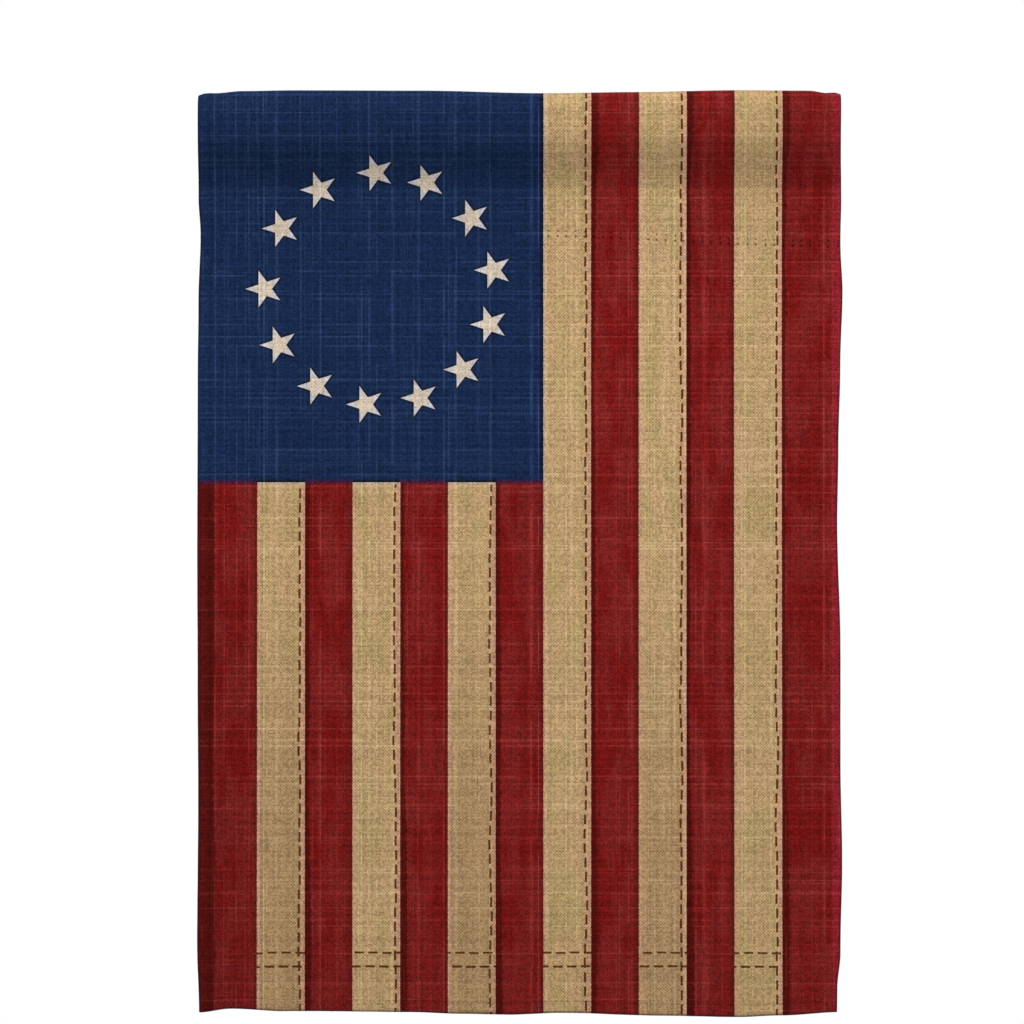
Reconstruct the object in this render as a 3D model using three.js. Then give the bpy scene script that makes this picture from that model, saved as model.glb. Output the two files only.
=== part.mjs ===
// A printed garden flag, as it hangs from its rod sleeve.
//
// It is one piece of heavy woven cloth. The two sides and the bottom are hemmed to the back,
// and the top is folded to the back and sewn across, which makes a sleeve for a round rod.
// Units are millimetres. The front, printed face looks along -Y, +X is to the right of
// someone who reads it, +Z is up, and the origin is the middle of the top fold.

import * as THREE from 'three';

// The whole flag
const FLAG_WIDTH = 328;
const FLAG_HEIGHT = 471;
const CLOTH_THICKNESS = 1.2;
const HEM_WIDTH = 7.5;
const HEM_THICKNESS = 2.2;
const HEM_SLOPE = 1.2;
const FIT_GAP = 0.3;

// The sleeve: the cloth goes over a rod, draws in under it, and lies together above the seam
const SLEEVE_DEPTH = 73;
const SEAM_DROP_AT_RIGHT = 5.5;
const SLEEVE_WALL = 1.2;
const SLEEVE_HALF_DEPTH = 10.8;
const SLEEVE_WIDEST_AT = 18;
const SLEEVE_SQUARENESS = 2.6;
const SLEEVE_NARROWS_FROM = 20.5;
const SLEEVE_DRAWN_IN_AT = 51.5;
const SLEEVE_CLOSED_HALF_DEPTH = 1.9;
const SLEEVE_POCKET_END = 4;
const SLEEVE_PROFILE_STEPS = 12;
const SLEEVE_STEPS_ACROSS = 20;

// How the hanging cloth strays from a flat plane
const FRONT_PLANE = -SLEEVE_CLOSED_HALF_DEPTH;
const BELLY = 3.4;
const BELLY_HALF_WAVES = 1.5;
const FLUTE_DEPTH = 1.7;
const FLUTE_SPACING = 150;
const FLUTE_LEAN = 0.12;
const CORNER_CURL = 3.2;
const CORNER_CURL_REACH = 70;
const FIELD_COLUMNS = 28;
const FIELD_ROWS = 30;

// The outline of a flag that was cut, hemmed and hung by hand is a little uneven. Each edge
// is a short list of [place along the edge, where the edge runs there].
const TOP_EDGE = [
  [-164, -2.6], [-150, -0.7], [-115, 0], [-50, -0.2], [12, -1.5],
  [60, -0.9], [110, 0], [148, -0.2], [164, -1.5],
];
const BOTTOM_EDGE = [
  [-164, -470.8], [-148, -468.9], [-120, -470.4], [-50, -470.8], [12, -471.5],
  [72, -472.8], [112, -473.3], [136, -472.3], [164, -470.7],
];
const LEFT_EDGE = [
  [-471, -163.4], [-435, -164.6], [-365, -164.1], [-300, -164.6], [-194, -164.1],
  [-107, -164.1], [-74, -162.9], [-55, -164.1], [0, -164.1],
];
const RIGHT_EDGE = [
  [-471, 162.3], [-458, 162.7], [-394, 164.6], [-312, 164.4], [-235, 162.5], [-184, 162.4],
  [-103, 164.9], [-70, 163.6], [-50, 164.1], [-12, 164.1], [0, 163],
];

const redCloth = new THREE.MeshStandardMaterial({ color: 0x7c201e, roughness: 0.9, metalness: 0 });
const blueCloth = new THREE.MeshStandardMaterial({ color: 0x1b2d4f, roughness: 0.9, metalness: 0 });

// Reads an uneven edge at one place, eased between its points so that it has no corners.
function edgeAt(points, place) {
  const last = points.length - 1;
  const next = points.findIndex(([along]) => along >= place);
  if (next === 0) return points[0][1];
  if (next === -1) return points[last][1];
  const [startAlong, start] = points[next - 1];
  const [endAlong, end] = points[next];
  return THREE.MathUtils.lerp(start, end, THREE.MathUtils.smoothstep(place, startAlong, endAlong));
}

// How far down the sleeve's seam runs. It was sewn level, and then sinks towards the right edge.
function seamDepth(x) {
  return SLEEVE_DEPTH + SEAM_DROP_AT_RIGHT * THREE.MathUtils.smoothstep(x, 0, FLAG_WIDTH / 2);
}

// How far the hanging cloth stands behind its flat plane: a slow belly down the flag, soft
// upright flutes that deepen towards the bottom, and bottom corners that curl forward.
function strayBack(x, z) {
  const down = THREE.MathUtils.clamp(-z / FLAG_HEIGHT, 0, 1);
  const belly = BELLY * Math.sin(Math.PI * down * BELLY_HALF_WAVES);
  const fluteTurn = (2 * Math.PI * (x + FLUTE_LEAN * z)) / FLUTE_SPACING;
  const flutes = FLUTE_DEPTH * down * Math.cos(fluteTurn);
  const toCorner = Math.hypot(FLAG_WIDTH / 2 - Math.abs(x), FLAG_HEIGHT + z) / CORNER_CURL_REACH;
  const curl = CORNER_CURL * (1 - THREE.MathUtils.smoothstep(toCorner, 0, 1));
  return belly + flutes - curl;
}

// Takes a point of the flat, square flag to where it hangs.
function hang(point) {
  const { x, y, z } = point;
  const acrossShare = x / FLAG_WIDTH + 0.5;
  const left = edgeAt(LEFT_EDGE, z);
  const right = edgeAt(RIGHT_EDGE, z);
  const top = edgeAt(TOP_EDGE, x);
  const bottom = edgeAt(BOTTOM_EDGE, x) + FLAG_HEIGHT;
  const topShare = THREE.MathUtils.smoothstep(z, -SLEEVE_DRAWN_IN_AT, 0);
  const bottomShare = THREE.MathUtils.smoothstep(-z, FLAG_HEIGHT / 2, FLAG_HEIGHT);
  point.x = THREE.MathUtils.lerp(left, right, acrossShare);
  point.y = y + strayBack(x, z);
  point.z = z + top * topShare + bottom * bottomShare;
}

// Moves each vertex of a geometry with a function of its place.
function reshape(geometry, move) {
  const positions = geometry.getAttribute('position');
  const point = new THREE.Vector3();
  for (let i = 0; i < positions.count; i += 1) {
    point.fromBufferAttribute(positions, i);
    move(point);
    positions.setXYZ(i, point.x, point.y, point.z);
  }
  geometry.computeVertexNormals();
  return geometry;
}

// Half the sleeve's outer depth, front to back, below the line where the sleeve is widest.
function drawnInHalfDepth(depth) {
  const share = THREE.MathUtils.smoothstep(depth, SLEEVE_NARROWS_FROM, SLEEVE_DRAWN_IN_AT);
  return THREE.MathUtils.lerp(SLEEVE_HALF_DEPTH, SLEEVE_CLOSED_HALF_DEPTH, share);
}

// A point of the cloth over the rod, which runs between a half ellipse and a rectangle,
// because stiff cloth stands off the rod on both sides of it.
function pointOverRod(turn, inset) {
  const power = 2 / SLEEVE_SQUARENESS;
  const back = Math.sign(Math.cos(turn)) * Math.abs(Math.cos(turn)) ** power;
  const up = Math.abs(Math.sin(turn)) ** power;
  return new THREE.Vector2(
    back * (SLEEVE_HALF_DEPTH - inset),
    up * (SLEEVE_WIDEST_AT - inset) - SLEEVE_WIDEST_AT,
  );
}

// The closed outline of the sleeve's section, drawn as (front to back, up), moved in from the
// outer face of the cloth by an inset: 0 for the outside, the wall's thickness for the pocket.
function sleeveOutline(inset, lowEnd) {
  const side = [];
  const overRod = [];
  for (let i = 0; i <= SLEEVE_PROFILE_STEPS; i += 1) {
    const share = i / SLEEVE_PROFILE_STEPS;
    const depth = THREE.MathUtils.lerp(SLEEVE_NARROWS_FROM, SLEEVE_DRAWN_IN_AT, share);
    side.push(new THREE.Vector2(drawnInHalfDepth(depth) - inset, -depth));
    overRod.push(pointOverRod(Math.PI * (1 - share), inset));
  }
  side.push(new THREE.Vector2(SLEEVE_CLOSED_HALF_DEPTH - inset, -lowEnd));
  const front = side.map(({ x, y }) => new THREE.Vector2(-x, y)).reverse();
  return [...front, ...overRod, ...side];
}

// The rod sleeve: the top of the flag, front and back, as one closed loop of cloth.
function buildRodSleeve() {
  const section = new THREE.Shape(sleeveOutline(0, SLEEVE_DEPTH));
  const pocket = sleeveOutline(SLEEVE_WALL, SLEEVE_DEPTH - SLEEVE_POCKET_END).reverse();
  section.holes.push(new THREE.Path(pocket));
  const geometry = new THREE.ExtrudeGeometry(section, {
    depth: FLAG_WIDTH,
    steps: SLEEVE_STEPS_ACROSS,
    bevelEnabled: false,
  });
  // the section is drawn in X and Y and pushed along Z: turn it so that it runs along X
  geometry.applyMatrix4(new THREE.Matrix4().set(
    0, 0, 1, -FLAG_WIDTH / 2,
    1, 0, 0, 0,
    0, 1, 0, 0,
    0, 0, 0, 1,
  ));
  return reshape(geometry, (point) => {
    point.z *= THREE.MathUtils.lerp(1, seamDepth(point.x) / SLEEVE_DEPTH, -point.z / SLEEVE_DEPTH);
    hang(point);
  });
}

// Places of a hemmed direction's grid lines from edge to edge. The second and third lines
// are the inner edge of the hem and the foot of its step, at whichever ends are hemmed.
function hemmedLines(length, count, hemAtStart, hemAtEnd) {
  const hem = [HEM_WIDTH, HEM_WIDTH + HEM_SLOPE];
  const before = hemAtStart ? [0, ...hem] : [0];
  const after = hemAtEnd ? [...hem.map((place) => length - place).reverse(), length] : [length];
  const between = count + 1 - before.length - after.length;
  const first = before.at(-1);
  const last = after[0];
  const spacing = (last - first) / (between + 1);
  const middle = Array.from({ length: between }, (_, i) => first + spacing * (i + 1));
  return [...before, ...middle, ...after];
}

// The flag below the seam: single cloth, with its side and bottom hems turned to the back.
function buildFlagField() {
  const fieldHeight = FLAG_HEIGHT - SLEEVE_DEPTH - FIT_GAP;
  const columns = hemmedLines(FLAG_WIDTH, FIELD_COLUMNS, true, true);
  const rows = hemmedLines(fieldHeight, FIELD_ROWS, false, true);
  const geometry = new THREE.BoxGeometry(FIELD_COLUMNS, 1, FIELD_ROWS, FIELD_COLUMNS, 1, FIELD_ROWS);
  return reshape(geometry, (point) => {
    const across = columns[Math.round(point.x + FIELD_COLUMNS / 2)];
    const down = rows[Math.round(FIELD_ROWS / 2 - point.z)];
    const toSide = Math.min(across, FLAG_WIDTH - across);
    const toBottom = fieldHeight - down;
    const inHem = toSide <= HEM_WIDTH || toBottom <= HEM_WIDTH;
    const thickness = inHem ? HEM_THICKNESS : CLOTH_THICKNESS;
    point.x = across - FLAG_WIDTH / 2;
    point.y = FRONT_PLANE + (point.y > 0 ? thickness : 0);
    const top = -seamDepth(point.x) - FIT_GAP;
    point.z = THREE.MathUtils.lerp(top, -FLAG_HEIGHT, down / fieldHeight);
    hang(point);
  });
}

const rodSleeve = new THREE.Mesh(buildRodSleeve(), blueCloth);
rodSleeve.name = 'rod_sleeve';

const flagField = new THREE.Mesh(buildFlagField(), redCloth);
flagField.name = 'flag_field';

const group = new THREE.Group();
group.add(rodSleeve, flagField);

export default group;
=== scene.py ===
"""A printed garden flag that hangs from its rod sleeve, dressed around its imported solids."""

import math
from bisect import bisect_right

import bmesh
import bpy
from mathutils import Matrix, Vector, noise


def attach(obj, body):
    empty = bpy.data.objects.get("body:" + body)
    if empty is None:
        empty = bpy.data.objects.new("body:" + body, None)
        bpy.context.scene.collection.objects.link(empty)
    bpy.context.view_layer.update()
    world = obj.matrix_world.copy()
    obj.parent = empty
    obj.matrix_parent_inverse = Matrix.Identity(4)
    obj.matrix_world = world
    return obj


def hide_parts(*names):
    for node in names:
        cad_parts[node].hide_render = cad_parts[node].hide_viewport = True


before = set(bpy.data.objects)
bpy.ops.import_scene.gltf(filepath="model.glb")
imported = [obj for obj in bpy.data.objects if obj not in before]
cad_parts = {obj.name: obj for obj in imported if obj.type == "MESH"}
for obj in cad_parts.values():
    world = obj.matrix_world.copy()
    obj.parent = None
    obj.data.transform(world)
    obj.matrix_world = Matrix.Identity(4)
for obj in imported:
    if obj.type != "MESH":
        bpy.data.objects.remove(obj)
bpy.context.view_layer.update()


# The cloth
# One piece of coarse woven polyester, cut with its hems and the sleeve's back in one. The sides
# are turned to the back first, then the bottom, and the top goes over a rod and down behind
# to the sleeve's seam. Cloth that would lie four deep in the corners is cut away.
flag_width = 0.328
flag_height = 0.471
cloth_thickness = 0.00045
hem_width = 0.0075
hem_radius = 0.0005
corner_hem_radius = 0.00078
corner_reach = 0.012
line_spacing = 0.0024

sleeve_depth = 0.073
seam_drop_at_right = 0.0055
seam_allowance = 0.003
turned_under = 0.005
sleeve_half_depth = 0.0108
sleeve_widest_at = 0.018
sleeve_squareness = 2.6
sleeve_narrows_from = 0.0205
drawn_in_at = 0.0515
closed_half_depth = 0.0019
seam_thickness = 0.0023
profile_step = 0.0005

belly = 0.0034
belly_half_waves = 1.5
flute_depth = 0.0017
flute_spacing = 0.150
flute_lean = 0.12
corner_curl = 0.0032
corner_curl_reach = 0.070

# gathers beside the sewing: reach, height and spacing
seam_gathers = (0.009, 0.00030, 0.012)
side_gathers = (0.008, 0.00030, 0.021)
bottom_gathers = (0.008, 0.00026, 0.018)
gather_wander = 2
gather_wander_rate = 1.1
# soft unevenness of the cloth: height, turns a metre across and up, and which slice of the noise
broad_unevenness = (0.0008, 14, 9, 3.1)
fine_unevenness = (0.00022, 46, 40, 7.7)

top_edge = [
    (-0.164, -0.0026), (-0.160, -0.0015), (-0.155, -0.0015), (-0.142, -0.0004), (-0.115, 0),
    (-0.050, -0.0002), (0.012, -0.0015), (0.060, -0.0009), (0.110, 0), (0.148, -0.0002),
    (0.157, -0.0014), (0.1605, -0.0011), (0.164, -0.0019),
]
bottom_edge = [
    (-0.164, -0.4708), (-0.148, -0.4689), (-0.120, -0.4704), (-0.056, -0.4709), (-0.028, -0.4717),
    (-0.004, -0.4721), (0.021, -0.4713), (0.072, -0.4728), (0.112, -0.4733), (0.136, -0.4723),
    (0.164, -0.4707),
]
left_edge = [
    (-0.471, -0.1634), (-0.435, -0.1645), (-0.365, -0.1641), (-0.300, -0.1645), (-0.240, -0.1648),
    (-0.150, -0.1646), (-0.107, -0.1642), (-0.074, -0.1631), (-0.055, -0.1641), (0, -0.1641),
]
right_edge = [
    (-0.471, 0.1620), (-0.459, 0.1621), (-0.441, 0.1638), (-0.394, 0.1648), (-0.345, 0.1640),
    (-0.285, 0.1641), (-0.222, 0.1625), (-0.184, 0.1631), (-0.140, 0.1641), (-0.103, 0.1652),
    (-0.078, 0.1641), (-0.055, 0.1645), (-0.025, 0.1639), (0, 0.1641),
]


def smooth(value, start, end):
    """Rises from 0 to 1 between start and end, level at both."""
    share = min(max((value - start) / (end - start), 0), 1)
    return share * share * (3 - 2 * share)


def blend(start, end, share):
    return start + (end - start) * share


def edge_at(points, place):
    """Reads an uneven edge at one place, eased between its points."""
    if place <= points[0][0]:
        return points[0][1]
    for (start, low), (end, high) in zip(points, points[1:]):
        if place <= end:
            return blend(low, high, smooth(place, start, end))
    return points[-1][1]


def seam_depth(across):
    """How far down the sleeve's seam runs."""
    return sleeve_depth + seam_drop_at_right * smooth(across, 0, flag_width / 2)


def stray_back(across, up):
    """How far the hanging cloth stands behind a flat plane."""
    down = min(max(-up / flag_height, 0), 1)
    bellied = belly * math.sin(math.pi * down * belly_half_waves)
    fluted = flute_depth * down * math.cos(2 * math.pi * (across + flute_lean * up) / flute_spacing)
    to_corner = math.hypot(flag_width / 2 - abs(across), flag_height + up)
    curled = corner_curl * (1 - smooth(to_corner, 0, corner_curl_reach))
    return bellied + fluted - curled


def gather(from_sewing, along, reach, height, spacing):
    """Small gathers on both sides of a line of sewing, at a distance from it and along it."""
    fading = math.exp(-((from_sewing / reach) ** 2))
    wander = gather_wander * math.sin(along / spacing * gather_wander_rate)
    return height * fading * math.sin(2 * math.pi * along / spacing + wander)


def uneven(across, up, height, turns_across, turns_up, noise_slice):
    return height * noise.noise(Vector((turns_across * across, noise_slice, turns_up * up)))


def crumple(across, up):
    """The gathers along the seam and the hems, and the cloth's own soft unevenness."""
    at_seam = gather(up + seam_depth(across), across, *seam_gathers)
    at_side = gather(flag_width / 2 - abs(across), up + across, *side_gathers)
    at_bottom = gather(up + flag_height, across, *bottom_gathers)
    broad = uneven(across, up, *broad_unevenness)
    fine = uneven(across, up, *fine_unevenness)
    return at_seam + at_side + at_bottom + broad + fine


def hang(across, back, up):
    """Takes a point of the square flag to where it hangs."""
    share = across / flag_width + 0.5
    side = blend(edge_at(left_edge, up), edge_at(right_edge, up), share)
    rise = edge_at(top_edge, across) * smooth(up, -drawn_in_at, 0)
    drop = (edge_at(bottom_edge, across) + flag_height) * smooth(-up, flag_height / 2, flag_height)
    return Vector((side, back + stray_back(across, up) + crumple(across, up), up + rise + drop))


def half_depth(depth):
    """Half the sleeve's depth from front to back, below the line where it is widest."""
    return blend(sleeve_half_depth, closed_half_depth, smooth(depth, sleeve_narrows_from, drawn_in_at))


def over_rod(turn):
    """A point of the cloth over the rod, between a half ellipse and a rectangle."""
    power = 2 / sleeve_squareness
    back = math.copysign(abs(math.cos(turn)) ** power, math.cos(turn))
    up = abs(math.sin(turn)) ** power
    return back * sleeve_half_depth, (up - 1) * sleeve_widest_at


def spaced(start, end, spacing):
    """Evenly spaced places from start to end, both included, about spacing apart."""
    count = max(1, round(abs(end - start) / spacing))
    return [blend(start, end, i / count) for i in range(count + 1)]


# the outer face of the cloth as (back, up), from the sleeve's back edge, over the rod and down
back_end = sleeve_depth + seam_allowance
closing = 2 * closed_half_depth - seam_thickness
profile = [
    (half_depth(depth) - closing * smooth(depth, drawn_in_at, sleeve_depth), -depth)
    for depth in spaced(back_end, sleeve_narrows_from, profile_step)
]
profile += [over_rod(turn) for turn in spaced(0, math.pi, profile_step / sleeve_widest_at)]
front_depths = spaced(sleeve_narrows_from, flag_height, profile_step)
profile += [(-half_depth(depth), -depth) for depth in front_depths]
lengths = [0.0]
for start, end in zip(profile, profile[1:]):
    lengths.append(lengths[-1] + math.dist(start, end))
cloth_length = lengths[-1]
print_start = cloth_length - flag_height


def profile_at(length):
    """The profile's point and inward direction at a length along the cloth."""
    i = min(max(bisect_right(lengths, length), 1), len(lengths) - 1)
    start, end = Vector(profile[i - 1]), Vector(profile[i])
    along = (end - start).normalized()
    point = start.lerp(end, (length - lengths[i - 1]) / (lengths[i] - lengths[i - 1]))
    return point, Vector((-along.y, along.x))


def turned(past, radius, layer=0.0):
    """Cloth turned over an edge: how far in from the edge and how deep behind the face it lies,
    at a distance past the middle of the fold, for a layer that is already so deep."""
    quarter = math.pi * radius / 2
    if abs(past) >= quarter:
        return abs(past) - quarter + radius, 2 * radius - layer if past > 0 else layer
    angle = past / radius
    return radius - (radius - layer) * math.cos(angle), radius + (radius - layer) * math.sin(angle)


def hemmed(start, end, hem_before, hem_after):
    """Grid lines of a direction from edge to edge, close together round the fold at each end."""
    quarter = math.pi * hem_radius / 2
    fold = [-quarter, -quarter / 2, 0, quarter / 2, quarter]
    lines = [start - past for past in spaced(hem_before, quarter, line_spacing)[:-1]]
    lines += [start + past for past in fold[:-1]]
    lines += spaced(start + quarter, end - quarter, line_spacing)[:-1]
    lines += [end + past for past in fold[:-1]]
    lines += [end + past for past in spaced(quarter, hem_after, line_spacing)]
    return lines


fold_excess = (math.pi / 2 - 1) * hem_radius
flat_half = flag_width / 2 + fold_excess
first_fold = -fold_excess
last_fold = cloth_length + fold_excess
columns = hemmed(-flat_half, flat_half, hem_width, hem_width)
rows = hemmed(first_fold, last_fold, turned_under, hem_width)


def lay(across, along):
    """Takes a point of the flat cut cloth to its place on the hanging flag and to its place in
    the print, which runs straight though the cloth's edges don't."""
    side_in, layer = turned(abs(across) - flat_half, hem_radius)
    x = math.copysign(flag_width / 2 - side_in, across)
    past_corner = smooth(flag_width / 2 - abs(x), hem_width, corner_reach)
    radius = blend(corner_hem_radius, hem_radius, past_corner)
    if along < cloth_length / 2:
        length, depth = turned(first_fold - along, hem_radius, layer)
    else:
        end_in, depth = turned(along - last_fold, radius, layer)
        length = cloth_length - end_in
    point, inward = profile_at(length)
    place = point + inward * depth
    sunk = blend(1, seam_depth(x) / sleeve_depth, min(max(-place.y / sleeve_depth, 0), 1))
    settled = blend(sunk, 1, smooth(-place.y, sleeve_depth, flag_height))
    hung = hang(x, place.x, place.y * settled)
    return hung, (across + hung.x - x, along - print_start - (hung.z - place.y))


cloth_mesh = bmesh.new()
bmesh.ops.create_grid(cloth_mesh, x_segments=len(columns) - 1, y_segments=len(rows) - 1, size=0.5)
flat_places = {}
for vertex in cloth_mesh.verts:
    column = round((vertex.co.x + 0.5) * (len(columns) - 1))
    row = round((vertex.co.y + 0.5) * (len(rows) - 1))
    flat_places[vertex] = (columns[column], rows[row])

# in the corners, the turned side hem is cut away where the bottom hem or the sleeve's back is
# turned over it
fold_half = math.pi * hem_radius
bulk = [
    face
    for face in cloth_mesh.faces
    if min(abs(flat_places[corner][0]) for corner in face.verts) > flat_half + fold_half / 4
    and (
        min(flat_places[corner][1] for corner in face.verts) > last_fold - fold_half
        or max(flat_places[corner][1] for corner in face.verts) < first_fold + fold_half
    )
]
bmesh.ops.delete(cloth_mesh, geom=bulk, context="FACES")
print_map = cloth_mesh.loops.layers.uv.new("print")
cut_map = cloth_mesh.loops.layers.uv.new("cut")
for vertex in cloth_mesh.verts:
    vertex.co, print_place = lay(*flat_places[vertex])
    for loop in vertex.link_loops:
        loop[print_map].uv = print_place
        loop[cut_map].uv = flat_places[vertex]
for face in cloth_mesh.faces:
    face.smooth = True
bmesh.ops.reverse_faces(cloth_mesh, faces=cloth_mesh.faces)
cloth_data = bpy.data.meshes.new("flag_cloth")
cloth_mesh.to_mesh(cloth_data)
cloth_mesh.free()
cloth = bpy.data.objects.new("flag_cloth", cloth_data)
bpy.context.scene.collection.objects.link(cloth)
thickness = cloth.modifiers.new("cloth_thickness", "SOLIDIFY")
thickness.thickness = cloth_thickness
thickness.offset = -1
thickness.material_offset = 1
thickness.material_offset_rim = 1

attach(cloth, "root")
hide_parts("rod_sleeve", "flag_field")


# The sewing
# Fine spun thread of the cloth's own colour. The side and bottom hems have one row of close
# lockstitches each. The sleeve is closed with a row of short upright stitches, one between each
# pair of needle holes. The flag was sewn before it was printed, so the ink lies on the thread too.
hem_stitch_pitch = 0.0027
hem_stitch_length = 0.0023
hem_stitch_in = 0.0062
sleeve_stitch_pitch = 0.004617
sleeve_stitch_length = 0.0027
sleeve_stitch_start = 0.0148
sleeve_stitch_wander = 0.00025
sleeve_stitch_wander_rate = 2.4
thread_radius = 0.00017
thread_raised = 0.00006
stitch_sides = 6
stitch_rings = 4

stitch_mesh = bmesh.new()
one_stitch = bpy.data.meshes.new("one_stitch")


def sew_stitch(across, along, to_across, to_along):
    """One stitch on the cloth's outer face, drawn in at both ends, between two places of the cut
    cloth. It is a long bead, set along the line between them."""
    start, start_print = lay(across, along)
    end, end_print = lay(to_across, to_along)
    lengthwise = end - start
    sideways = lay(across + (to_along - along), along - (to_across - across))[0] - start
    outward = lengthwise.cross(sideways).normalized()
    sideways = outward.cross(lengthwise).normalized()
    bead_axes = (sideways * thread_radius, outward * thread_radius, lengthwise / 2)
    placing = Matrix(bead_axes).transposed().to_4x4()
    placing.translation = start + lengthwise / 2 + outward * thread_raised
    stitch = bmesh.new()
    bmesh.ops.create_uvsphere(
        stitch,
        u_segments=stitch_sides,
        v_segments=stitch_rings,
        radius=1,
        matrix=placing,
    )
    stitch_print = stitch.loops.layers.uv.new("print")
    stitch_cut = stitch.loops.layers.uv.new("cut")
    for face in stitch.faces:
        face.smooth = True
        for corner in face.loops:
            share = (corner.vert.co - start).dot(lengthwise) / lengthwise.length_squared
            corner[stitch_print].uv = Vector(start_print).lerp(Vector(end_print), share)
            corner[stitch_cut].uv = (across, along)
    stitch.to_mesh(one_stitch)
    stitch.free()
    stitch_mesh.from_mesh(one_stitch)


hem_stitch_line = flag_width / 2 - hem_stitch_in
turned_stitch_line = flag_width / 2 + 2 * fold_excess + hem_stitch_in
for along in spaced(hem_width, cloth_length - hem_width, hem_stitch_pitch):
    for line in (-turned_stitch_line, -hem_stitch_line, hem_stitch_line, turned_stitch_line):
        sew_stitch(line, along, line, along + hem_stitch_length)
bottom_line = cloth_length - hem_stitch_in
turned_bottom_line = cloth_length + 2 * fold_excess + hem_stitch_in
for across in spaced(-flat_half + hem_width, flat_half - hem_width, hem_stitch_pitch)[:-1]:
    for line in (bottom_line, turned_bottom_line):
        sew_stitch(across, line, across + hem_stitch_length, line)
first = math.ceil((-flag_width / 2 + hem_width - sleeve_stitch_start) / sleeve_stitch_pitch)
last = math.floor((flag_width / 2 - hem_width - sleeve_stitch_start) / sleeve_stitch_pitch)
for i in range(first, last + 1):
    wander = sleeve_stitch_wander * math.sin(sleeve_stitch_wander_rate * i)
    across = sleeve_stitch_start + i * sleeve_stitch_pitch + wander
    # set back by as much as the print lies to one side there, to meet the printed needle holes
    across -= lay(across, print_start + sleeve_depth)[1][0] - across
    for middle in (print_start + sleeve_depth, seam_allowance):
        sew_stitch(across, middle - sleeve_stitch_length / 2, across, middle + sleeve_stitch_length / 2)
stitch_data = bpy.data.meshes.new("sewing")
stitch_mesh.to_mesh(stitch_data)
stitch_mesh.free()
bpy.data.meshes.remove(one_stitch)
sewing = bpy.data.objects.new("sewing", stitch_data)
bpy.context.scene.collection.objects.link(sewing)

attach(sewing, "root")
cut_size = (columns[-1] - columns[0], rows[-1] - rows[0])


# The print
# The sewn cloth is printed with seven red and six tan stripes, a blue canton with a ring of
# thirteen stars, and dark running stitches that are only drawn. The ink sits on the threads, so
# the thicker and the raised threads show lighter through it.
class Ink:
    """A socket in a material's nodes. Arithmetic on it adds Math nodes to that material."""

    def __init__(self, socket):
        self.socket = socket

    def make(self, kind, settings=None, inputs=None, output=0):
        """Adds one node to the same material, settings first, and gives one of its outputs."""
        tree = self.socket.id_data
        node = tree.nodes.new(kind)
        for name, value in (settings or {}).items():
            if name == "stops":
                ramp = node.color_ramp
                ramp.interpolation = "CONSTANT"
                for place, colour in value[len(ramp.elements):]:
                    ramp.elements.new(place)
                for element, (place, colour) in zip(ramp.elements, value):
                    element.position = place
                    element.color = colour
            else:
                setattr(node, name, value)
        for name, value in (inputs or {}).items():
            if isinstance(value, Ink):
                tree.links.new(value.socket, node.inputs[name])
            else:
                node.inputs[name].default_value = value
        return Ink(node.outputs[output])

    def maths(self, operation, *others):
        return self.make("ShaderNodeMath", {"operation": operation}, dict(enumerate((self, *others))))

    def __add__(self, other):
        return self.maths("ADD", other)

    __radd__ = __add__

    def __mul__(self, other):
        return self.maths("MULTIPLY", other)

    __rmul__ = __mul__

    def __sub__(self, other):
        return self.maths("SUBTRACT", other)

    def __rsub__(self, other):
        return self.make("ShaderNodeMath", {"operation": "SUBTRACT"}, {0: other, 1: self})

    def __truediv__(self, other):
        return self.maths("DIVIDE", other)

    def __pow__(self, other):
        return self.maths("POWER", other)

    def __mod__(self, other):
        return self.maths("FLOORED_MODULO", other)

    def __abs__(self):
        return self.maths("ABSOLUTE")

    def __lt__(self, other):
        return self.maths("LESS_THAN", other)

    def __gt__(self, other):
        return self.maths("GREATER_THAN", other)

    def rises(self, start, end):
        """Goes from 0 to 1 between start and end, level at both."""
        return self.make(
            "ShaderNodeMapRange",
            {"interpolation_type": "SMOOTHSTEP"},
            {"Value": self, "From Min": start, "From Max": end},
        )

    def falls(self, start, end):
        return 1.0 - self.rises(start, end)

    def dyes(self, under, over):
        """Mixes two colours, with this share of the second."""
        return self.make("ShaderNodeMix", {"data_type": "RGBA"}, {0: self, 6: under, 7: over}, 2)

    def shades(self, colour):
        """Makes a colour this much brighter or darker."""
        return self.make("ShaderNodeVectorMath", {"operation": "SCALE"}, {0: colour, "Scale": self})

    def paled(self, power):
        """The same colour, thinner, as on a light thread."""
        return self.make("ShaderNodeGamma", None, {0: self, 1: power})

    def at(self, other):
        """This and another as the two places of a vector."""
        return self.make("ShaderNodeCombineXYZ", None, {0: self, 1: other})

    def scattered(self):
        """A random number for each place of a vector."""
        return self.make("ShaderNodeTexWhiteNoise", {"noise_dimensions": "2D"}, {"Vector": self})

    def clouded(self, scale, detail=2.0):
        """Soft random clouds over the places of a vector, between 0 and 1."""
        return self.make(
            "ShaderNodeTexNoise",
            {"noise_dimensions": "2D"},
            {"Vector": self, "Scale": scale, "Detail": detail},
        )


def dye(red, green, blue):
    """A dye's colour from its screen values, 0 to 255."""
    def linear(value):
        share = value / 255
        return share / 12.92 if share <= 0.04045 else ((share + 0.055) / 1.055) ** 2.4

    return (linear(red), linear(green), linear(blue), 1.0)


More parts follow.
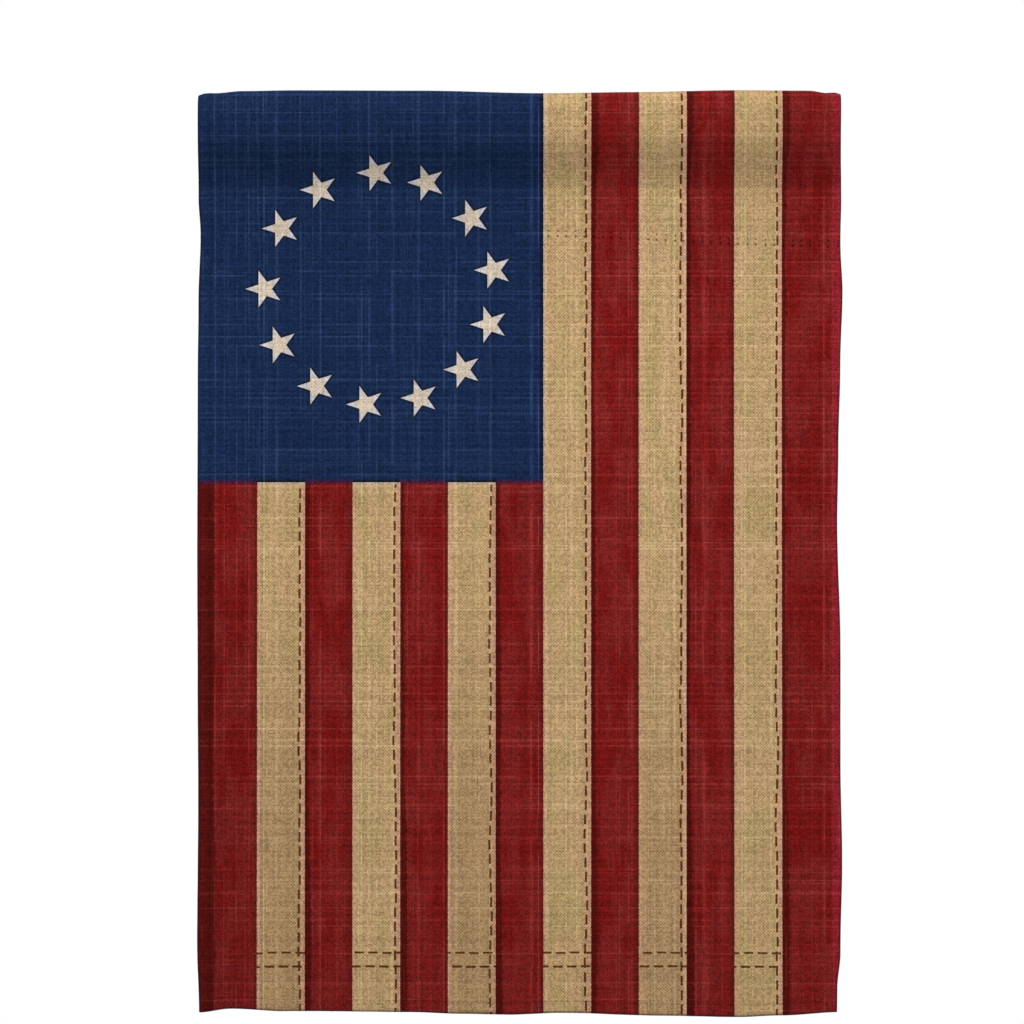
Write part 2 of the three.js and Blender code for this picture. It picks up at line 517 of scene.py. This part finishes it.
tan_dye = dye(184, 151, 108)
tan_olive_dye = dye(172, 149, 98)
tan_soiled_dye = dye(167, 135, 95)
pink_strip_dye = dye(190, 143, 116)
red_dye = dye(114, 16, 14)
rosy_dye = dye(120, 29, 27)
red_dark_dye = dye(79, 10, 7)
red_end_dye = dye(94, 22, 16)
crimson_dye = dye(144, 31, 40)
blue_dye = dye(18, 37, 72)
violet_dye = dye(22, 31, 86)
blue_edge_dye = dye(18, 22, 32)
purple_dye = dye(66, 24, 52)
chalk_dye = dye(176, 162, 144)
star_dye = dye(190, 188, 197)
star_middle_dye = dye(202, 186, 167)
stitch_dye = dye(84, 42, 1)
# the dark colour of the painted shade along the folded edges
fold_painted_shade_dye = dye(34, 18, 40)

# stripes, numbered from the middle one. A pair of values is where a change starts and ends.
stripe_width = 0.02438
last_stripe = 6
ragged_edge = 0.00016
soiled_drop = (0.23, 0.38)
pink_from_right = (0.0020, 0.0028)
pink_from_left = (0.0006, 0.0020)
red_end_from_right = (0.0010, 0.0034)
dark_strip_least = 0.0002
dark_strip_wander = 0.0030
dark_strip_wander_scale = 11.0
dark_strip_wander_apart = 0.31
dark_strip_ripple = 0.0018
dark_strip_ripple_scale = 330.0
dark_strip_ripple_apart = 0.7
dark_strip_unevenness = 0.0005
dark_strip_more_at_top = 0.0014
dark_strip_top = (0.02, 0.05)
dark_strip_more_at_bottom = 0.0012
dark_strip_bottom = (0.34, 0.44)
dark_strip_softness = (-0.0003, 0.0011)
left_hem_across = (-0.144, -0.136)
left_hem_drop = (0.22, 0.28)
left_hem_shade = 0.13
right_hem_across = (0.1587, 0.1603)
rosy_bottom_drop = (0.425, 0.450)
rosy_bottom = 0.5

# patches of another tone: how many a metre across and down, and in how much detail
olive_patches = (110.0, 30.0, 1.0)
olive_range = (0.40, 0.66)
rosy_patches = (90.0, 28.0, 2.0)
rosy_range = (0.36, 0.60)
streaks = (520.0, 12.0, 1.0)

# how much of each ink there is over the one below it
olive_ink = 0.6
rosy_ink = 0.9
pink_right_ink = 0.85
pink_left_ink = 0.8
red_end_ink = 0.8
crimson_ink = 0.9
violet_ink = 0.6
outline_ink = 0.9
chalk_ink = 0.85
blurred_ink = 0.75
drawn_ink = 0.98
# the share of painted shade along the folded edges
fold_painted_shade_ink = 0.5

# the canton and its stars, whose angles are counted from the right, upwards
canton_depth = 0.2004
chalk_line_beside = 0.0012
chalk_line_under = 0.0011
violet_line = (-0.0040, -0.0024)
canton_side_line = (-0.0021, -0.0013)
canton_bottom_line = (-0.0016, -0.0008)
blurred_bottom = (0.0004, 0.0018)
blurred_above = 0.0002
star_radius = 0.0098
star_notch = 0.385
star_half_point = math.radians(36)
star_outline = (0.0006, 0.0014)
star_outline_out = (1.0, 1.1)
star_edge = (-0.00015, 0.00015)
star_middle_out = (0.30, 0.72)
ring_half_width = 0.0589
ring_half_height = 0.0595
ring_across = -0.0715
ring_drop = 0.1015
star_angles = [92.0, 66.0, 37.4, 9.3, -17.8, -43.9, -69.6, -97.1, -123.4, -151.2, -180.0, -211.3, -238.3]

# drawn stitches: each row across has its drop and how much later its first stitch starts
drawn_stitch_pitch = 0.00731
drawn_stitch_share = 0.69
drawn_stitch_half_width = 0.00056
drawn_stitch_inset = 0.0027
drawn_stitch_stagger = 0.37
drawn_stitch_sway = 0.0018
drawn_stitch_sway_scale = 0.22
drawn_stitch_unevenness = 0.0004
cross_stitch_pitch = 0.0071
cross_stitch_stagger = 0.31
cross_stitch_rows = ((0.4407, 0.0015), (0.4476, 0.0))

# threads: they all vary in tone, and a few are pale for a stretch of their length. Each kind of
# variation has its own row of random numbers.
thread_pitch = 0.00078
pale_warp_row = 0.5
pale_weft_row = 7.5
warp_tone_row = 1.5
weft_tone_row = 9.5
ragged_row = 3.5
pale_warp_rarity = 6.0
pale_weft_rarity = 5.0
pale_stretch_scale = 30.0
pale_stretch_apart = 7.3
pale_stretch = (0.3, 0.6)
pale_thread_tone = 0.3
warp_tone_range = 0.35
weft_tone_range = 0.28
cloud_scale = 300.0
cloud_tone_range = 0.06
streak_tone_range = 0.2
crossing_scale = 90.0
crossing_range = (0.30, 0.60)
crossing_tone_least = 0.25
crossing_tone_more = 0.35

# how the threads show through the ink, which covers them better where it is light
pale_warp_share = 0.27
pale_weft_share = 0.20
pale_thread_power = 0.6
thread_shade = 0.68
light_ink_less_shade = 0.12
star_less_shade = 0.16
drawn_less_light = 0.7
darkest_thread = 0.2

# needle holes, darkened with painted shade, and painted shade over the sleeve and along the folded edges
needle_hole_radius = 0.00042
needle_hole_softness = (0.6, 1.5)
lower_hole_larger = 0.3
needle_hole_painted_shade = 0.66
needle_hole_less_in_canton = 0.7
# painted shade over the sleeve: where it is full, where it fades out, and how much darker
sleeve_painted_shade_drop = (0.03, 0.11)
sleeve_painted_shade = 0.12
# painted shade along the folded edges: how far from the fold it is full and where it ends
fold_painted_shade = (0.0009, 0.0018)

# the weave's relief, in shares of its depth, and how matt it is
weave_depth = 0.00012
weave_strength = 0.5
thread_under = 0.45
thread_over = 0.55
pale_thread_relief = 0.4
cloud_relief = 0.4
needle_hole_relief = 2.0
cloth_roughness = 0.94
raised_less_rough = 0.08
cloth_specular = 0.08


def star_mask(across, drop):
    """How far outside the nearest star each place is, and how far out from that star's middle.
    Each star points a tip to the left."""
    sideways = across - ring_across
    downwards = drop - ring_drop
    first_angle = (star_angles[0] + star_angles[-1] + 360) / 2
    turns = (downwards.maths("ARCTAN2", sideways) + math.radians(first_angle)) / (2 * math.pi)
    shares = [(first_angle - angle) / 360 for angle in star_angles]
    starts = [0.0] + [(one + two) / 2 for one, two in zip(shares, shares[1:])]
    stops = [(start, (middle, middle, middle, 1.0)) for start, middle in zip(starts, shares)]
    nearest = turns.make("ShaderNodeValToRGB", {"stops": stops}, {0: turns.maths("FRACT")})
    angle = nearest * (2 * math.pi) - math.radians(first_angle)
    from_across = sideways - angle.maths("COSINE") * ring_half_width
    from_down = downwards - angle.maths("SINE") * ring_half_height
    out = (from_across ** 2.0 + from_down ** 2.0).maths("SQRT")
    folded = from_down.maths("ARCTAN2", from_across * -1.0).maths("PINGPONG", star_half_point)
    tip = Vector((star_radius, 0))
    notch = Vector((math.cos(star_half_point), math.sin(star_half_point))) * star_radius * star_notch
    side = (notch - tip).normalized()
    outside = (out * folded.maths("COSINE") - tip.x) * side.y - out * folded.maths("SINE") * side.x
    return outside, out / star_radius


def pale_threads(thread, rarity, row, along):
    """How pale each thread is along its length."""
    stretch = (thread * pale_stretch_apart).at(along * pale_stretch_scale).clouded(1.0)
    return thread.at(row).scattered() ** rarity * stretch.rises(*pale_stretch)


def patched(across, drop, many_across, many_down, detail):
    """Soft patches, longer than they are wide, between 0 and 1."""
    return (across * many_across).at(drop * many_down).clouded(1.0, detail)


def stripe_inks(across, drop, weft, ragged):
    """Seven red and six tan stripes. Also gives the number of each place's stripe, its distance
    from that stripe's left and right edge, and whether the stripe is tan."""
    in_stripes = (across + ragged) / stripe_width + 0.5
    stripe = in_stripes.maths("FLOOR").maths("MAXIMUM", -last_stripe).maths("MINIMUM", last_stripe)
    from_left = (in_stripes - stripe) * stripe_width
    from_right = stripe_width - from_left
    is_tan = stripe.maths("PINGPONG", 1.0)

    # tan, with a pinker strip along both edges, and soiled low down on every second stripe
    olive = patched(across, drop, *olive_patches).rises(*olive_range)
    tan = (olive * olive_ink).dyes(tan_dye, tan_olive_dye)
    soiled = (stripe % 4.0 > 2.5) * drop.rises(*soiled_drop)
    tan = soiled.dyes(tan, tan_soiled_dye)
    tan = (from_right.falls(*pink_from_right) * pink_right_ink).dyes(tan, pink_strip_dye)
    tan = (from_left.falls(*pink_from_left) * pink_left_ink).dyes(tan, pink_strip_dye)

    # red, with a dark strip of uneven width along the left edge
    wander = drop.at(stripe * dark_strip_wander_apart).clouded(dark_strip_wander_scale)
    strip_width = wander * dark_strip_wander
    strip_width = strip_width + drop.rises(*dark_strip_bottom) * dark_strip_more_at_bottom
    strip_width = strip_width + drop.falls(*dark_strip_top) * dark_strip_more_at_top
    strip_width = strip_width + weft.at(stripe).scattered() * dark_strip_unevenness
    ripple = drop.at(stripe * dark_strip_ripple_apart).clouded(dark_strip_ripple_scale, 1.0)
    strip_width = strip_width + (ripple - 0.5) * dark_strip_ripple
    dark_strip = (from_left - strip_width - dark_strip_least).falls(*dark_strip_softness)
    rosy = patched(across, drop, *rosy_patches).rises(*rosy_range)
    rosy = rosy + drop.rises(*rosy_bottom_drop) * rosy_bottom
    red = (rosy.maths("MINIMUM", 1.0) * rosy_ink).dyes(red_dye, rosy_dye)
    on_left_hem = across.falls(*left_hem_across) * drop.rises(*left_hem_drop)
    red = (1.0 - on_left_hem * left_hem_shade).shades(red)
    red = dark_strip.dyes(red, red_dark_dye)
    at_right_end = from_right.falls(*red_end_from_right) * (stripe < last_stripe - 0.5)
    red = (at_right_end * red_end_ink).dyes(red, red_end_dye)
    red = (across.rises(*right_hem_across) * crimson_ink).dyes(red, crimson_dye)
    return is_tan.dyes(red, tan), stripe, from_left, from_right, is_tan


def drawn_stitches(drop, stripe, from_left, from_right):
    """Running stitches that are only drawn: one row down each stripe, and two rows across it."""
    turn = drop / drawn_stitch_pitch + stripe * drawn_stitch_stagger
    stitch = turn.maths("FLOOR").at(stripe)
    sway = (stitch.clouded(drawn_stitch_sway_scale, 0.0) - 0.5) * drawn_stitch_sway
    sway = sway + (stitch.scattered() - 0.5) * drawn_stitch_unevenness
    drawn = abs(from_right - drawn_stitch_inset + sway) < drawn_stitch_half_width
    drawn = drawn * (turn.maths("FRACT") < drawn_stitch_share)
    for row, later in cross_stitch_rows:
        turn = (from_left - later) / cross_stitch_pitch + stripe * cross_stitch_stagger
        sway = (turn.maths("FLOOR").at(row).scattered() - 0.5) * drawn_stitch_unevenness
        on_row = abs(drop - row + sway) < drawn_stitch_half_width
        drawn = on_row * (turn.maths("FRACT") < drawn_stitch_share) + drawn
    return drawn.maths("MINIMUM", 1.0)


def canton_inks(across, drop, past_canton, below_canton, is_tan):
    """The blue canton with its ring of stars and the dark lines round them and along its edges.
    Also gives where the stars are."""
    canton = (past_canton.rises(*violet_line) * violet_ink).dyes(blue_dye, violet_dye)
    canton = past_canton.rises(*canton_side_line).dyes(canton, blue_edge_dye)
    canton = (below_canton.rises(*canton_bottom_line) * is_tan).dyes(canton, blue_edge_dye)
    outside, out = star_mask(across, drop)
    outlined = outside.falls(*star_outline) * out.falls(*star_outline_out)
    canton = (outlined * outline_ink).dyes(canton, blue_edge_dye)
    in_star = outside.falls(*star_edge)
    star = out.rises(*star_middle_out).dyes(star_middle_dye, star_dye)
    return in_star.dyes(canton, star), in_star


def needle_holes(across, drop):
    """Holes at both ends of each stitch of the sleeve's seam, the lower ones larger."""
    number = ((across - sleeve_stitch_start) / sleeve_stitch_pitch).maths("ROUND")
    hole_across = number * sleeve_stitch_pitch + sleeve_stitch_start
    hole_across = hole_across + (number * sleeve_stitch_wander_rate).maths("SINE") * sleeve_stitch_wander
    sunk = across.rises(0.0, flag_width / 2) * seam_drop_at_right
    from_seam = drop - sunk - sleeve_depth
    hole_drop = abs(from_seam) - sleeve_stitch_length / 2
    to_hole = ((across - hole_across) ** 2.0 + hole_drop ** 2.0).maths("SQRT")
    to_hole = to_hole / ((from_seam > 0.0) * lower_hole_larger + 1.0)
    return to_hole.falls(*(needle_hole_radius * softness for softness in needle_hole_softness))


def print_flag(material, power):
    """Prints the flag's design on a cloth's material. A power under 1 is for the cloth's back,
    where the ink shows through paler."""
    tree = material.node_tree
    shader = tree.nodes["Principled BSDF"]
    coordinates = Ink(tree.nodes.new("ShaderNodeUVMap").outputs[0])
    coordinates.socket.node.uv_map = "print"
    across = coordinates.make("ShaderNodeSeparateXYZ", None, {0: coordinates}, 0)
    drop = coordinates.make("ShaderNodeSeparateXYZ", None, {0: coordinates}, 1)
    cut_place = coordinates.make("ShaderNodeUVMap", {"uv_map": "cut"})
    cut_across = coordinates.make("ShaderNodeSeparateXYZ", None, {0: cut_place}, 0)
    cut_along = coordinates.make("ShaderNodeSeparateXYZ", None, {0: cut_place}, 1)

    # threads, counted across and down: each has its own tone, and so has each crossing
    warp_count = across / thread_pitch
    weft_count = drop / thread_pitch
    warp = warp_count.maths("FLOOR")
    weft = weft_count.maths("FLOOR")
    pale_warp = pale_threads(warp, pale_warp_rarity, pale_warp_row, drop)
    pale_weft = pale_threads(weft, pale_weft_rarity, pale_weft_row, across)
    warp_tone = (warp.at(warp_tone_row).scattered() - 0.5) * warp_tone_range
    weft_tone = (weft.at(weft_tone_row).scattered() - 0.5) * weft_tone_range
    crossing_tone = warp.at(weft).scattered() - 0.5
    cloud_tone = coordinates.clouded(cloud_scale, 2.0) - 0.5
    streak_tone = patched(across, drop, *streaks) - 0.5
    over = (warp + weft).maths("PINGPONG", 1.0)
    crossed = coordinates.clouded(crossing_scale, 1.0).rises(*crossing_range)
    crossed = crossed * crossing_tone_more + crossing_tone_least
    tone = warp_tone + weft_tone + crossing_tone + (over - 0.5) * crossed
    tone = tone + cloud_tone * cloud_tone_range + streak_tone * streak_tone_range
    tone = tone + (pale_warp + pale_weft) * pale_thread_tone

    # the inks of the design, whose upright edges follow the threads
    ragged = (weft.at(ragged_row).scattered() - 0.5) * ragged_edge
    colour, stripe, from_left, from_right, is_tan = stripe_inks(across, drop, weft, ragged)
    drawn = drawn_stitches(drop, stripe, from_left, from_right) * is_tan
    colour = (drawn * drawn_ink).dyes(colour, stitch_dye)
    past_canton = across + ragged - stripe_width / 2
    below_canton = drop - canton_depth
    beside = (past_canton < chalk_line_beside) * (below_canton < 0.0)
    under = (below_canton < chalk_line_under) * (past_canton < 0.0) * is_tan
    colour = (beside.maths("MAXIMUM", under) * chalk_ink).dyes(colour, chalk_dye)
    in_canton = (past_canton < 0.0) * (below_canton < 0.0)
    canton, in_star = canton_inks(across, drop, past_canton, below_canton, is_tan)
    colour = in_canton.dyes(colour, canton)
    blurred = abs(below_canton + blurred_above).falls(*blurred_bottom) * (past_canton < 0.0)
    colour = (blurred * (1.0 - is_tan) * blurred_ink).dyes(colour, purple_dye)

    # the threads show through the ink, more through dark ink than through light
    light_ink = is_tan * (1.0 - in_canton) + in_star * in_canton
    light_ink = light_ink * (1.0 - drawn * drawn_less_light)
    pale = pale_warp * pale_warp_share + pale_weft * pale_weft_share
    colour = pale.dyes(colour, colour.paled(pale_thread_power))
    shade = thread_shade - light_ink * light_ink_less_shade - in_star * in_canton * star_less_shade
    colour = (tone * shade + 1.0).maths("MAXIMUM", darkest_thread).shades(colour)

    # painted shade: the sleeve is darker near the top
    colour = (1.0 - drop.falls(*sleeve_painted_shade_drop) * sleeve_painted_shade).shades(colour)
    # painted shade: the folded side and bottom edges are darker where the cloth turns away
    from_side = abs(abs(cut_across) - flat_half)
    from_bottom = abs(cut_along - last_fold)
    on_fold = from_side.maths("MINIMUM", from_bottom).falls(*fold_painted_shade)
    colour = (on_fold * fold_painted_shade_ink).dyes(colour, fold_painted_shade_dye)
    # painted shade in the needle holes, less in the canton
    hole = needle_holes(across, drop) * (1.0 - in_canton * needle_hole_less_in_canton)
    colour = (1.0 - hole * needle_hole_painted_shade).shades(colour)
    if power < 1:
        colour = colour.paled(power)
    tree.links.new(colour.socket, shader.inputs["Base Color"])

    # plain weave: each thread is round, and goes over and under the ones that it crosses
    round_warp = (warp_count.maths("FRACT") * math.pi).maths("SINE")
    round_weft = (weft_count.maths("FRACT") * math.pi).maths("SINE")
    warp_height = round_warp * (thread_under + over * thread_over)
    weft_height = round_weft * (1.0 - over * thread_over)
    height = warp_height.maths("MAXIMUM", weft_height)
    height = height + (pale_warp + pale_weft) * pale_thread_relief
    height = height + cloud_tone * cloud_relief - hole * needle_hole_relief
    relief = {"Strength": weave_strength, "Distance": weave_depth, "Height": height}
    tree.links.new(height.make("ShaderNodeBump", None, relief).socket, shader.inputs["Normal"])
    roughness = cloth_roughness - height * raised_less_rough
    tree.links.new(roughness.socket, shader.inputs["Roughness"])
    shader.inputs["Specular IOR Level"].default_value = cloth_specular


finishes = (("printed_face", 1.0), ("show_through", 0.75))
for finish_name, power in finishes:
    finish = bpy.data.materials.new(finish_name)
    finish.use_nodes = True
    print_flag(finish, power)
    cloth.data.materials.append(finish)
sewing.data.materials.append(cloth.data.materials["printed_face"])


# The stage
# A pale floor as far down as under a garden flag's stand, a broad soft light in front and high up,
# a weaker one behind, and white all round.
floor_level = -0.95
floor_size = 2.0
floor_grey = 0.7
floor_roughness = 0.9
surroundings_grey = 0.15
floor_mesh = bmesh.new()
bmesh.ops.create_grid(
    floor_mesh,
    x_segments=1,
    y_segments=1,
    size=floor_size / 2,
    matrix=Matrix.Translation((0, 0, floor_level)),
)
floor_data = bpy.data.meshes.new("floor")
floor_mesh.to_mesh(floor_data)
floor_mesh.free()
floor = bpy.data.objects.new("floor", floor_data)
bpy.context.scene.collection.objects.link(floor)
paint = bpy.data.materials.new("floor_paint")
paint.use_nodes = True
paint_inputs = paint.node_tree.nodes["Principled BSDF"].inputs
paint_inputs["Base Color"].default_value = (floor_grey, floor_grey, floor_grey, 1)
paint_inputs["Roughness"].default_value = floor_roughness
floor.data.materials.append(paint)

world = bpy.data.worlds.new("studio")
bpy.context.scene.world = world
world.use_nodes = True
seen = Ink(world.node_tree.nodes.new("ShaderNodeLightPath").outputs["Is Camera Ray"])
unseen = (surroundings_grey, surroundings_grey, surroundings_grey, 1.0)
surroundings = seen.dyes(unseen, (1.0, 1.0, 1.0, 1.0))
world.node_tree.links.new(surroundings.socket, world.node_tree.nodes["Background"].inputs["Color"])

flag_middle = Vector((0, 0, -flag_height / 2))
light_distance = 1.95
light_width = 0.9
light_height = 0.7


def soft_light(name, energy, elevation, aside, side):
    """A broad light that looks at the flag's middle, from in front (-1) or from behind (1)."""
    data = bpy.data.lights.new(name, "AREA")
    data.shape = "RECTANGLE"
    data.size = light_width
    data.size_y = light_height
    data.energy = energy
    light = bpy.data.objects.new(name, data)
    level = math.cos(elevation) * light_distance
    away = Vector((aside, side * level, math.sin(elevation) * light_distance))
    turn = away.to_track_quat("Z", "Y").to_matrix().to_4x4()
    light.matrix_world = Matrix.Translation(flag_middle + away) @ turn
    bpy.context.scene.collection.objects.link(light)


soft_light("key", energy=42.5, elevation=math.radians(47), aside=-0.10, side=-1)
soft_light("back_light", energy=16.0, elevation=math.radians(35), aside=0.30, side=1)

# The camera looks straight at the flag from far off. At the flag, the picture is 523 mm wide.
photo_width = 1024
metres_a_pixel = 0.0005112
flag_middle_pixel = 519.5
top_edge_pixel = 90.3
camera_distance = 3.6
camera_data = bpy.data.cameras.new("camera")
camera_data.sensor_width = 36.0
camera_data.lens = camera_data.sensor_width * camera_distance / (photo_width * metres_a_pixel)
camera = bpy.data.objects.new("camera", camera_data)
camera.location = (
    (photo_width / 2 - flag_middle_pixel) * metres_a_pixel,
    -camera_distance,
    (top_edge_pixel - photo_width / 2) * metres_a_pixel,
)
camera.rotation_euler = (math.pi / 2, 0, 0)
bpy.context.scene.collection.objects.link(camera)
bpy.context.scene.camera = camera
bpy.context.scene.view_settings.view_transform = "Standard"
